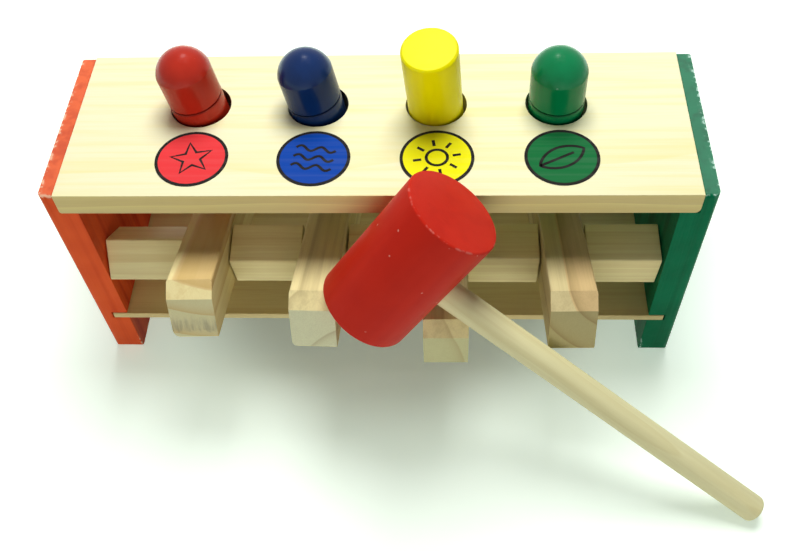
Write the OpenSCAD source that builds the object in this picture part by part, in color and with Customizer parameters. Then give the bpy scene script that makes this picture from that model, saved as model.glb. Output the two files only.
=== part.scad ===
// Pounding bench: pegs stand on pivoting levers, and a hammer leans on the front.
// Origin: centre of the bench's footprint on the table. X runs along the bench,
// Y to the back and Z up. All sizes are in millimetres and all angles in degrees.

/* [Bench] */
// Overall length across both end panels
bench_l = 226.8; // [215:1:250]
// Depth of the end panels, front to back
bench_w = 69.4; // [68:0.2:80]
// Height of the end panels
bench_h = 95.3; // [93:0.1:105]
// Thickness of each end panel
panel_t = 11.5; // [9.5:0.1:13]
// Rounding of the panels' outer upright edges
panel_edge_r = 2; // [0.5:0.1:3]
// Rounding of the panels' upper and lower corners, seen from the side
panel_corner_r = 1.8; // [0.5:0.1:4]
// Thickness of the top board
board_t = 9; // [7:0.1:11]
// Width of panel left standing beside the board's end
lip_w = 5; // [3:0.1:6]
// Thickness of the shelf
shelf_t = 3; // [2.5:0.1:4]
// Height of the shelf's upper face above the table
shelf_z = 24.6; // [20:0.1:27]
// Play of the shelf in its slots, at each end and above it
slot_play = 0.5; // [0.1:0.1:1]

/* [Pivot rod and blocks] */
// Diameter of the rod
rod_d = 8; // [6:0.1:9]
// Distance of the rod's axis behind the panels' front edges
rod_inset = 10.1; // [8.7:0.1:12.7]
// Height of the rod's axis above the table
rod_z = 51; // [48:0.1:54]
// Depth of the rod's blind hole in each panel
rod_seat = 6; // [4:0.1:7]
// Radial play of levers and blocks on the rod
rod_play = 0.08; // [0.04:0.01:0.1]
// Side of the square spacer blocks
block_s = 16; // [13:0.1:17]
// Rounding of the blocks' long edges
block_edge_r = 0.8; // [0.2:0.1:2]
// Gap between neighbours along the rod
row_gap = 0.5; // [0.3:0.1:0.8]
// Turn of blocks 1 to 4 about the rod
block_turn = [-33, 9, 4, 3]; // [-45:1:45]
// Turn of block 5 about the rod
last_block_turn = 6.6; // [-45:0.1:45]

/* [Levers] */
// Width of a lever along the rod
lever_w = 15.7; // [14:0.1:17]
// Height of a lever
lever_h = 22.4; // [19:0.1:23]
// Reach from the rod's axis to the nose
front_arm = 40.3; // [37:0.1:43]
// Reach from the rod's axis to the back end
back_arm = 49.6; // [47:0.1:55]
// Length of the slope on the nose
nose_slope_l = 4.2; // [2:0.1:8]
// Drop of the slope on the nose
nose_slope_h = 5.4; // [2:0.1:9]
// Rounding under the nose
nose_under_r = 2; // [0.5:0.1:4]
// Rounding of one long lower edge of each lever
lever_edge_r = [4, 3.4, 1.2, 1]; // [0.5:0.1:5]
// Sideways place of each lever from its hole
lever_shift = [0.3, 1.3, 3.3, 3.4]; // [-1:0.1:3.6]
// Shift of each lever towards the back on its own hole
lever_slide = [1, 0, 0, -1.2]; // [-2:0.1:2]
// Height of each lever's middle over its own hole
lever_rise = [1.1, -1, -2.1, -0.6]; // [-2.5:0.1:3]
// Skew of each lever on the rod
lever_skew = [1.3, -1.4, 0.5, 0.9]; // [-2.5:0.1:2.5]
// Tilt of the lever that is held down, nose low
pressed_tilt = -0.9; // [-2:0.1:3]
// Gap where a lever or peg rests on another piece
rest_gap = 0.25; // [0.1:0.05:0.3]

/* [Pegs] */
// Distance between neighbouring holes
hole_pitch = 42.2; // [41:0.1:44]
// Sideways place of each hole from its disc
hole_slip = [-0.7, -0.5, -0.5, -0.3]; // [-1:0.1:1]
// Radius of the holes
hole_r = 10.85; // [10.3:0.05:12]
// Distance from the rod back to the middles of the holes
hole_past_rod = 32.8; // [30.6:0.1:34.6]
// Radius of a peg's thicker part
peg_r = 9.75; // [8.5:0.05:9.9]
// Radius of a peg's thinner part
peg_neck_r = 9.7; // [8.2:0.05:9.9]
// Length of the thicker part
peg_body_l = 44; // [38:0.5:46]
// Length of the thinner part below the dome
peg_neck_l = 12.4; // [8:0.1:16]
// Height of the dome
dome_h = 7.8; // [5:0.1:8]
// Chamfer round the flat end
peg_chamfer = 0.6; // [0.2:0.1:1.5]
// Depth and width of the groove at the shoulder
groove = 0.35; // [0.2:0.05:0.8]
// Lean of each peg in its hole
peg_lean = [7.7, 8.8, 9, 1.9]; // [0:0.1:9]
// Heading of each lean, counted from +X towards +Y
lean_heading = [183, 176, 249, 245]; // [0:1:360]
// Air under the upside-down peg, whose lever is held down
flipped_air = 1.6; // [0.5:0.1:3]

/* [Discs] */
// Radius of the coloured discs
disc_r = 12.7; // [10:0.1:13.5]
// Thickness of the coloured discs
disc_t = 0.2; // [0.1:0.05:0.5]
// Distance of the discs' middles behind the board's front edge
disc_inset = 16.9; // [15.7:0.1:18.2]

/* [Hammer] */
// Radius of the head
head_r = 16.9; // [15:0.1:17.5]
// Length of the head
head_l = 51.8; // [46:0.1:54]
// Rounding of the head's rims
head_edge_r = 0.8; // [0.2:0.1:2]
// Radius of the handle
handle_r = 5; // [4:0.1:6]
// Reach of the handle from the head's axis
handle_reach = 155.6; // [140:0.1:165]
// Depth of the handle past the head's axis
handle_seat = 9; // [4:0.5:11]
// Slide of the handle along the head from its middle
handle_shift = -1.2; // [-3:0.1:3]
// Rounding of the handle's free end
handle_end_r = 1.2; // [0.3:0.1:2.5]
// Lean of the head from upright
head_lean = 36.87; // [33:0.01:38]
// Heading of the head's lean
head_heading = 14.6; // [12:0.1:16]
// Turn of the handle about the head
handle_turn = -30.6; // [-32:0.1:-28]
// Sideways place of the head's middle
head_x = 11.7; // [11.7:0.1:13]

/* [Hidden] */
$fn = 64;

// Number of pegs with their holes, levers and discs, and the one that stands upside down
count = 4;
flipped = 2;

// How far a cutting shape runs past the face it cuts
past = 1;

orange_red = "#cf4a2a";
dark_green = "#175238";
wood = "#ead9a8";
dark_wood = "#d8c08a";
red = "#c8321e";
paints = [red, "#12357f", "#e8dc00", "#0b7a45"];

inner_x = bench_l / 2 - panel_t;
rebate_x = bench_l / 2 - lip_w;
board_z = bench_h - board_t;
front_y = -bench_w / 2;
rod_y = front_y + rod_inset;
hole_back = rod_y + hole_past_rod;
rod_r = rod_d / 2;
block_corner = block_s / sqrt(2);

function disc_x(i) = (i - (count - 1) / 2) * hole_pitch;
function hole_x(i) = disc_x(i) + hole_slip[i];
function lever_x(i) = hole_x(i) + lever_shift[i];
// Half of the room that a skewed lever takes on the rod, beside a turning block
function lever_half(i) = lever_w / 2 * cos(lever_skew[i]) + block_corner * sin(abs(lever_skew[i]));
function block_from(i) = i == 0 ? -inner_x + row_gap : lever_x(i - 1) + lever_half(i - 1) + row_gap;
function block_to(i) = i == count ? inner_x - row_gap : lever_x(i) - lever_half(i) - row_gap;
function block_angle(i) = i == count ? last_block_turn : block_turn[i];

// A lever drops until the lower corner of its back end meets the shelf
function corner_drop(i) = lever_h / 2 - lever_rise[i];
function back_reach(i) = back_arm + lever_slide[i];
function corner_reach(i) = norm([back_reach(i), corner_drop(i)]);
function resting_tilt(i) = atan2(corner_drop(i), back_reach(i))
    - asin((rod_z - shelf_z - rest_gap) / corner_reach(i));
function lever_tilt(i) = i == flipped ? pressed_tilt : resting_tilt(i);

// A peg slides along its leaning axis, which crosses the middle of its hole
function lean_room(lean) = hole_r - rod_play - peg_r / cos(lean);
lean_limit = atan(2 * lean_room(max(peg_lean)) / board_t);
function lean(i) = min(peg_lean[i], lean_limit);
function heading(i) = [cos(lean_heading[i]), sin(lean_heading[i])];
function peg_axis(i) = [sin(lean(i)) * heading(i).x, sin(lean(i)) * heading(i).y, cos(lean(i))];
function hole_middle(i) = [hole_x(i), hole_back, bench_h - board_t / 2];

// Upward normal of a lever's top face, and height of the hole's middle over that face
function top_normal(i) = [0, -sin(lever_tilt(i)), cos(lever_tilt(i))];
function over_lever(i) = (hole_middle(i) - [0, rod_y, rod_z]) * top_normal(i) - lever_h / 2 - lever_rise[i];

// Place of a peg's lower end on its axis, where its rim or its dome just clears the lever
dome_ball_r = (pow(peg_neck_r, 2) + pow(dome_h, 2)) / (2 * dome_h);
peg_l = peg_body_l + peg_neck_l + dome_h;
function facing(i) = top_normal(i) * peg_axis(i);
function flat_foot(i) = (rest_gap + peg_r * sqrt(1 - pow(facing(i), 2)) - over_lever(i)) / facing(i);
function dome_foot(i) = (flipped_air + dome_ball_r - over_lever(i)) / facing(i) - dome_ball_r;
function peg_foot(i) = i == flipped ? dome_foot(i) : flat_foot(i);

// The hammer leans on the board's upper front edge, and its handle ends on the table
function turned(v, tilt, heading) = [
    cos(heading) * (cos(tilt) * v.x + sin(tilt) * v.z) - sin(heading) * v.y,
    sin(heading) * (cos(tilt) * v.x + sin(tilt) * v.z) + cos(heading) * v.y,
    cos(tilt) * v.z - sin(tilt) * v.x];
head_axis = turned([0, 0, 1], head_lean, head_heading);
handle_axis = turned([cos(handle_turn), sin(handle_turn), 0], head_lean, head_heading);
handle_drop = (handle_reach - handle_end_r) * handle_axis.z + handle_shift * head_axis.z;
handle_tip = (handle_r - handle_end_r) * norm([handle_axis.x, handle_axis.y]) + handle_end_r;
head_z = handle_tip - handle_drop;
edge_slope = norm([head_axis.y, head_axis.z]);
head_front = ((head_r + rest_gap) * edge_slope - (head_z - bench_h) * head_axis.y) / head_axis.z;
head_y = front_y - head_front;

// Rectangle from the origin with one round at each corner, counted anticlockwise from the origin
module eased_rect(size, rounds) {
    corners = [[0, 0], [size.x, 0], size, [0, size.y]];
    flips = [[0, 0], [1, 0], [1, 1], [0, 1]];
    difference() {
        square(size);
        for (k = [0 : 3])
            if (rounds[k] > 0)
                translate(corners[k])
                    mirror([flips[k].x, 0])
                    mirror([0, flips[k].y])
                    corner_cut(rounds[k]);
    }
}

// What a round of radius r takes off a corner at the origin
module corner_cut(r) {
    difference() {
        translate([-past, -past]) square(r + past);
        translate([r, r]) circle(r);
    }
}

// Right end panel, standing on the table
module end_panel() {
    difference() {
        intersection() {
            translate([inner_x, front_y, 0]) linear_extrude(bench_h)
                eased_rect([panel_t, bench_w], [0, panel_edge_r, panel_edge_r, 0]);
            translate([inner_x - past, front_y, 0]) rotate([90, 0, 90])
                linear_extrude(panel_t + 2 * past)
                eased_rect([bench_w, bench_h], [1, 1, 1, 1] * panel_corner_r);
        }
        translate([inner_x - past, front_y - past, board_z])
            cube([rebate_x - inner_x + past, bench_w + 2 * past, board_t + past]);
        translate([inner_x - past, front_y - past, shelf_z - shelf_t])
            cube([rebate_x - inner_x + past, bench_w + 2 * past, shelf_t + slot_play]);
        translate([inner_x - past, rod_y, rod_z]) rotate([0, 90, 0])
            cylinder(h = rod_seat + past, r = rod_r);
    }
}

module right_end_panel() {
    color(dark_green) end_panel();
}

module left_end_panel() {
    color(orange_red) mirror([1, 0, 0]) end_panel();
}

module top_board() {
    color(wood) difference() {
        translate([-rebate_x, front_y, board_z]) cube([2 * rebate_x, bench_w, board_t]);
        for (i = [0 : count - 1])
            translate([hole_x(i), hole_back, board_z - past])
                cylinder(h = board_t + 2 * past, r = hole_r);
    }
}

module bottom_shelf() {
    reach = rebate_x - slot_play;
    color(dark_wood) translate([-reach, front_y, shelf_z - shelf_t])
        cube([2 * reach, bench_w, shelf_t]);
}

module pivot_rod() {
    reach = inner_x + rod_seat;
    color(dark_wood) translate([-reach, rod_y, rod_z]) rotate([0, 90, 0])
        cylinder(h = 2 * reach, r = rod_r);
}

// Hole for the rod through a piece that turns on it
module rod_hole(from, to) {
    translate([from - past, 0, 0]) rotate([0, 90, 0])
        cylinder(h = to - from + 2 * past, r = rod_r + rod_play);
}

module spacer_block(i) {
    from = block_from(i);
    to = block_to(i);
    color(wood) translate([0, rod_y, rod_z]) difference() {
        rotate([block_angle(i), 0, 0]) translate([from, -block_s / 2, -block_s / 2])
            rotate([90, 0, 90]) linear_extrude(to - from)
                eased_rect([block_s, block_s], [1, 1, 1, 1] * block_edge_r);
        rod_hole(from, to);
    }
}

// Lever lying level, with the rod's axis through the origin before its own rise
module lever_bar(edge_r) {
    nose = -front_arm;
    top = lever_h / 2;
    intersection() {
        translate([-lever_w / 2, 0, 0]) rotate([90, 0, 90]) linear_extrude(lever_w)
            difference() {
                polygon([[nose, -top], [back_arm, -top], [back_arm, top],
                    [nose + nose_slope_l, top], [nose, top - nose_slope_h]]);
                translate([nose, -top]) corner_cut(nose_under_r);
            }
        translate([-lever_w / 2, back_arm + past, -top]) rotate([90, 0, 0])
            linear_extrude(front_arm + back_arm + 2 * past)
                eased_rect([lever_w, lever_h], [edge_r, block_edge_r, block_edge_r, block_edge_r]);
    }
}

module lever(i) {
    color(wood) translate([lever_x(i), rod_y, rod_z]) difference() {
        rotate([0, 0, lever_skew[i]]) rotate([lever_tilt(i), 0, 0])
            translate([0, lever_slide[i], lever_rise[i]]) lever_bar(lever_edge_r[i]);
        rod_hole(-lever_w, lever_w);
    }
}

// Peg standing on its flat end
module peg_shape() {
    rotate_extrude() {
        difference() {
            union() {
                polygon([[0, 0], [peg_r - peg_chamfer, 0], [peg_r, peg_chamfer],
                    [peg_r, peg_body_l], [0, peg_body_l]]);
                translate([0, peg_body_l - groove]) square([peg_neck_r, peg_neck_l + groove]);
            }
            translate([peg_neck_r - groove, peg_body_l]) square([groove + past, groove]);
        }
        intersection() {
            translate([0, peg_l - dome_ball_r]) circle(dome_ball_r);
            translate([0, peg_l - dome_h]) square([peg_r, dome_h]);
        }
    }
}

module peg(i) {
    color(paints[i]) translate(hole_middle(i)) rotate([0, lean(i), lean_heading[i]])
        translate([0, 0, peg_foot(i)])
            if (i == flipped)
                translate([0, 0, peg_l]) mirror([0, 0, 1]) peg_shape();
            else
                peg_shape();
}

module disc(i) {
    color(paints[i]) translate([disc_x(i), front_y + disc_inset, bench_h]) cylinder(h = disc_t, r = disc_r);
}

// Puts a hammer drawn with its head along Z and its handle along X in its place
module place_hammer() {
    translate([head_x, head_y, head_z])
        rotate([0, head_lean, head_heading])
        rotate([0, 0, handle_turn])
        children();
}

// Half outline of a round bar from 0 to a length, with its two rims rounded
module round_bar(r, l, first_round, last_round) {
    rotate_extrude() eased_rect([r, l], [0, first_round, last_round, 0]);
}

module hammer_head() {
    color(red) place_hammer() difference() {
        translate([0, 0, -head_l / 2]) round_bar(head_r, head_l, head_edge_r, head_edge_r);
        translate([-handle_seat, 0, handle_shift]) rotate([0, 90, 0])
            cylinder(h = head_r + handle_seat + past, r = handle_r);
    }
}

module hammer_handle() {
    color(dark_wood) place_hammer() translate([-handle_seat, 0, handle_shift]) rotate([0, 90, 0])
        round_bar(handle_r, handle_reach + handle_seat, 0, handle_end_r);
}

left_end_panel();
right_end_panel();
top_board();
bottom_shelf();
pivot_rod();
spacer_block(0);  // spacer_block_1
spacer_block(1);  // spacer_block_2
spacer_block(2);  // spacer_block_3
spacer_block(3);  // spacer_block_4
spacer_block(4);  // spacer_block_5
lever(0);  // lever_1
lever(1);  // lever_2
lever(2);  // lever_3
lever(3);  // lever_4
peg(0);  // peg_red
peg(1);  // peg_blue
peg(2);  // peg_yellow
peg(3);  // peg_green
disc(0);  // disc_red
disc(1);  // disc_blue
disc(2);  // disc_yellow
disc(3);  // disc_green
hammer_head();
hammer_handle();
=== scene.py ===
"""Looks of a wooden pounding bench: painted pegs over pivoting levers, and a hammer.

The frame is the bench's own: X along the bench, Y to the back, Z up, with the origin in the
middle of its footprint on the table. Shapes are drawn in millimetres and placed in metres.
"""

import logging
import math
from dataclasses import dataclass, replace
from enum import Enum
from functools import cache
from typing import Any, Mapping, Optional, Sequence, Union

import bmesh
import bpy
from mathutils import Euler, Matrix, Vector


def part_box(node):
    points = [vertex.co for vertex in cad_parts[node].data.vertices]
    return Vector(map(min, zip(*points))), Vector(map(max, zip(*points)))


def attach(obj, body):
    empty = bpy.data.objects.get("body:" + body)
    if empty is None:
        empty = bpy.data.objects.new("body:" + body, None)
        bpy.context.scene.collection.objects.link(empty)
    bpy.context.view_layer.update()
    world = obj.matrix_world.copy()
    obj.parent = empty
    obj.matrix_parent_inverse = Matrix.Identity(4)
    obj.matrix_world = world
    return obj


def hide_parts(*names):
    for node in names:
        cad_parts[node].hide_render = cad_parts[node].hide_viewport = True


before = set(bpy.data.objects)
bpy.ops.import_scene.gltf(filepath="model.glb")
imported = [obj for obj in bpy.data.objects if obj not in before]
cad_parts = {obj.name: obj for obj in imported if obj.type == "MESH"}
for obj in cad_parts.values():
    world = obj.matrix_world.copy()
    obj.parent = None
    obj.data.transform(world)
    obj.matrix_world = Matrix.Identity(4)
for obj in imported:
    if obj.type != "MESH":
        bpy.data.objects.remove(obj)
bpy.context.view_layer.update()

LOG = logging.getLogger("pounding_bench")
MM = 0.001
ROUND_SIDES = 96
ROD_SEAT_SIDES = 144
ROD_HOLE_SIDES = 48
HANDLE_HOLE_SIDES = 72
OVERCUT = 1.0

Node = bpy.types.Node
Socket = bpy.types.NodeSocket
Colour = tuple[float, float, float]
Place = tuple[float, float, float]
Point2 = tuple[float, float]
Feed = Union["Value", float, Sequence[float]]


# ---- shader wiring


class Wiring:
    """Adds nodes to one node tree and joins them."""

    def __init__(self, tree: bpy.types.NodeTree) -> None:
        """Keeps the tree of a material, a world or a group."""
        self.tree = tree

    def feed(self, socket: Socket, value: Feed) -> None:
        """Joins an input to a value, or sets its own number, vector or colour.

        Args:
            socket: The input socket.
            value: What it is fed with.
        """
        if isinstance(value, Value):
            self.tree.links.new(value.socket, socket)
        elif socket.type == "RGBA":
            socket.default_value = (*value, 1.0)
        else:
            socket.default_value = value

    def node(self, kind: str, feeds: Optional[Mapping[Any, Feed]] = None, **settings: Any) -> Node:
        """Adds one node.

        Args:
            kind: Name of the node type.
            feeds: What its inputs are fed with, by name or by place.
            settings: Attributes to set on it.

        Returns:
            The new node.
        """
        node = self.tree.nodes.new(kind)
        for key, value in settings.items():
            setattr(node, key, value)
        for key, value in (feeds or {}).items():
            self.feed(node.inputs[key], value)
        return node

    def shade(self, shader: str, feeds: Mapping[str, Feed]) -> None:
        """Feeds inputs of the tree's own shader node, by their names."""
        for name, value in feeds.items():
            self.feed(self.tree.nodes[shader].inputs[name], value)

    def outputs(
        self, kind: str, feeds: Optional[Mapping[Any, Feed]] = None, **settings: Any
    ) -> dict[str, "Value"]:
        """Adds one node as node() does, and gives its outputs by name."""
        return {socket.name: Value(self, socket) for socket in self.node(kind, feeds, **settings).outputs}


class Value:
    """What an output socket gives. Calculating with it adds the nodes that work out the result."""

    def __init__(self, wiring: Wiring, socket: Socket) -> None:
        """Keeps the socket and the wiring of its tree."""
        self.wiring, self.socket = wiring, socket
        self.is_vector = socket.type in ("VECTOR", "RGBA")

    def through(
        self, kind: str, output: Union[int, str], feeds: Mapping[Any, Feed], **settings: Any
    ) -> "Value":
        """Adds a node and gives one of its outputs, by name or by place."""
        return Value(self.wiring, self.wiring.node(kind, feeds, **settings).outputs[output])

    def math(self, operation: str, *others: Feed) -> "Value":
        """Adds a Math node, or a Vector Math node if the value is a vector.

        Args:
            operation: Name of the operation.
            others: What it takes after the value itself.

        Returns:
            The result.
        """
        feeds = dict(enumerate((self, *others)))
        if not self.is_vector:
            return self.through("ShaderNodeMath", 0, feeds, operation=operation)
        output = "Value" if operation == "LENGTH" else "Vector"
        return self.through("ShaderNodeVectorMath", output, feeds, operation=operation)

    def __add__(self, other: Feed) -> "Value":
        """Adds another value."""
        return self.math("ADD", other)

    def __sub__(self, other: Feed) -> "Value":
        """Takes another value away."""
        return self.math("SUBTRACT", other)

    def __rsub__(self, other: float) -> "Value":
        """Takes the value away from a number."""
        return self * -1.0 + other

    def __mul__(self, other: Feed) -> "Value":
        """Multiplies number with number, and vector with vector."""
        return self.math("MULTIPLY", other)

    def __truediv__(self, other: Feed) -> "Value":
        """Divides by another value."""
        return self.math("DIVIDE", other)

    def __abs__(self) -> "Value":
        """Drops the sign."""
        return self.math("ABSOLUTE")

    def clamped(self) -> "Value":
        """Keeps the result of the last calculation between 0 and 1."""
        self.socket.node.use_clamp = True
        return self

    def parts(self) -> list["Value"]:
        """Splits a vector into X, Y and Z."""
        return list(self.wiring.outputs("ShaderNodeSeparateXYZ", {0: self}).values())

    def noise(self, scale: Feed, detail: float = 2.0, output: str = "Fac") -> "Value":
        """Reads a Noise Texture here. Fac is a number around 0.5, and Color is a colour."""
        feeds = {"Vector": self, "Scale": scale, "Detail": detail}
        return self.through("ShaderNodeTexNoise", output, feeds)

    def step(self, low: Feed, high: Feed) -> "Value":
        """Turns a number into a soft step from 0 at low to 1 at high, which may be below low."""
        feeds = {0: self, 1: low, 2: high}
        return self.through("ShaderNodeMapRange", 0, feeds, interpolation_type="SMOOTHSTEP")

    def mix(self, first: Feed, second: Feed) -> "Value":
        """Mixes two colours, with this value as the share of the second one."""
        return self.through("ShaderNodeMix", 2, {0: self, 6: first, 7: second}, data_type="RGBA")


class SocketKind(Enum):
    """Kinds of socket that an effect can have."""

    NUMBER = "NodeSocketFloat"
    VECTOR = "NodeSocketVector"


@dataclass(frozen=True)
class Port:
    """A named socket of an effect."""

    name: str
    kind: SocketKind = SocketKind.NUMBER


POSITION = Port("Position", SocketKind.VECTOR)


class Effect:
    """A shader node group that several finishes share, built once."""

    title: str
    takes: tuple[Port, ...]
    gives: tuple[Port, ...]

    def wire(self, take: Mapping[str, Value]) -> dict[str, Feed]:
        """Builds the inside of the group from its inputs, and gives what each output is fed with."""
        raise NotImplementedError

    def tree(self) -> bpy.types.NodeTree:
        """Gives the group, made the first time.

        Returns:
            Its node tree.
        """
        made = bpy.data.node_groups.get(self.title)
        if made:
            return made
        made = bpy.data.node_groups.new(self.title, "ShaderNodeTree")
        for way, ports in (("INPUT", self.takes), ("OUTPUT", self.gives)):
            for port in ports:
                made.interface.new_socket(port.name, in_out=way, socket_type=port.kind.value)
        wiring = Wiring(made)
        wiring.node("NodeGroupOutput", self.wire(wiring.outputs("NodeGroupInput")))
        return made

    def place(self, position: Value, **values: Feed) -> dict[str, Value]:
        """Places the group in a material.

        Args:
            position: The piece's own coordinates.
            values: What the other inputs are fed with, with underscores for spaces.

        Returns:
            The group's outputs by name.
        """
        feeds = {name.replace("_", " "): value for name, value in values.items()}
        feeds["Position"] = position
        return position.wiring.outputs("ShaderNodeGroup", feeds, node_tree=self.tree())


class GrowthRings(Effect):
    """Growth rings round a pith line that runs along X."""

    title = "growth rings"
    takes = (POSITION, Port("Pith", SocketKind.VECTOR), Port("Spacing"), Port("Warp"), Port("Sharpness"))
    gives = (Port("Late"), Port("Distance"))
    warp_stretch = (0.25, 1, 1)
    warp_scale = 45.0
    late_end = 0.96

    def wire(self, take: Mapping[str, Value]) -> dict[str, Feed]:
        """See Effect.wire."""
        across = (take["Position"] - take["Pith"]) * (0, 1, 1)
        slow = (take["Position"] * self.warp_stretch).noise(self.warp_scale, 1.0)
        distance = across.math("LENGTH") + (slow - 0.5) * take["Warp"]
        phase = (distance / take["Spacing"]).math("FRACT")
        late = phase.math("POWER", take["Sharpness"]) * phase.step(1.0, self.late_end)
        return {"Late": late, "Distance": distance}


class Fibres(Effect):
    """Fine fibres and long streaks that run along X."""

    title = "wood fibres"
    takes = (POSITION, Port("Size", SocketKind.VECTOR))
    gives = (Port("Fine"), Port("Streaks"))
    stretch = (0.03, 1, 1)
    fine_scale = 2200.0
    streak_scale = 420.0
    streak_step = (0.42, 0.7)

    def wire(self, take: Mapping[str, Value]) -> dict[str, Feed]:
        """See Effect.wire."""
        place = take["Position"] * self.stretch * take["Size"]
        streaks = place.noise(self.streak_scale).step(*self.streak_step)
        return {"Fine": place.noise(self.fine_scale, 3.0), "Streaks": streaks}


class BoxEdges(Effect):
    """Distance to the nearest edge of a box that is centred on the origin."""

    title = "box edges"
    takes = (POSITION, Port("Half Size", SocketKind.VECTOR))
    gives = (Port("Distance"),)

    def wire(self, take: Mapping[str, Value]) -> dict[str, Feed]:
        """See Effect.wire."""
        x, y, z = (take["Half Size"] - abs(take["Position"])).parts()
        beside = x.math("MINIMUM", y)
        return {"Distance": beside.math("MAXIMUM", x.math("MAXIMUM", y).math("MINIMUM", z))}


class RimEdges(Effect):
    """Distance to the nearer rim of a round bar that runs along X about the origin."""

    title = "rim edges"
    takes = (POSITION, Port("Half Length"), Port("Radius"))
    gives = (Port("Distance"),)

    def wire(self, take: Mapping[str, Value]) -> dict[str, Feed]:
        """See Effect.wire."""
        end = take["Half Length"] - abs(take["Position"].parts()[0])
        side = take["Radius"] - (take["Position"] * (0, 1, 1)).math("LENGTH")
        return {"Distance": end.math("MAXIMUM", side)}


class Wear(Effect):
    """Paint rubbed off near edges, in broken patches."""

    title = "edge wear"
    takes = (POSITION, Port("Distance"), Port("Reach"), Port("Cover"), Port("Patches"))
    gives = (Port("Bare"), Port("Rubbed"))
    patch_stretch = (0.6, 1, 1)
    patch_step = (0.35, 0.65)
    bare_step = (0.55, 0.66)
    rubbed_step = (0.2, 0.8)

    def wire(self, take: Mapping[str, Value]) -> dict[str, Feed]:
        """See Effect.wire."""
        patches = (take["Position"] * self.patch_stretch).noise(take["Patches"], 4.0)
        near = (1.0 - take["Distance"] / take["Reach"]).clamped()
        score = near * (patches.step(*self.patch_step) + take["Cover"])
        return {"Bare": score.step(*self.bare_step), "Rubbed": score.step(*self.rubbed_step)}


class Flecks(Effect):
    """Scattered small chips and specks."""

    title = "flecks"
    takes = (POSITION, Port("Scale"), Port("Size"), Port("Share"))
    gives = (Port("Fleck"),)
    jitter_scale = 900.0
    jitter_reach = (0.0012, 0.0012, 0.0012)

    def wire(self, take: Mapping[str, Value]) -> dict[str, Feed]:
        """See Effect.wire."""
        jitter = take["Position"].noise(self.jitter_scale, output="Color")
        moved = take["Position"] + jitter * self.jitter_reach
        cells = moved.wiring.outputs("ShaderNodeTexVoronoi", {"Vector": moved, "Scale": take["Scale"]})
        chosen = cells["Color"].parts()[0].math("LESS_THAN", take["Share"])
        return {"Fleck": chosen * (cells["Distance"].step(take["Size"], 0.0) * 2.0).clamped()}


# ---- finishes


@dataclass(frozen=True)
class Look:
    """What a finish feeds its shader with."""

    colour: Feed
    roughness: Feed
    relief: Feed
    relief_depth: float


@dataclass(frozen=True)
class Finish:
    """What every finish has: a name, a gloss and a way to make its material."""

    name: str
    roughness: float = 0.5
    sheen: float = 0.12

    def look(self, position: Value, normal: Value) -> Look:
        """Wires the finish's own part from a face's place and normal, with X along the grain."""
        raise NotImplementedError

    @cache
    def material(self) -> bpy.types.Material:
        """Gives the material, made the first time.

        Returns:
            The one material of all pieces with this finish.
        """
        material = bpy.data.materials.new(self.name)
        material.use_nodes = True
        wiring = Wiring(material.node_tree)
        coords = wiring.outputs("ShaderNodeTexCoord")
        look = self.look(coords["Object"], coords["Normal"])
        bump = wiring.outputs("ShaderNodeBump", {"Distance": look.relief_depth, "Height": look.relief})
        feeds = {"Base Color": look.colour, "Roughness": look.roughness, "Specular IOR Level": self.sheen}
        wiring.shade("Principled BSDF", feeds | bump)
        return material


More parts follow.
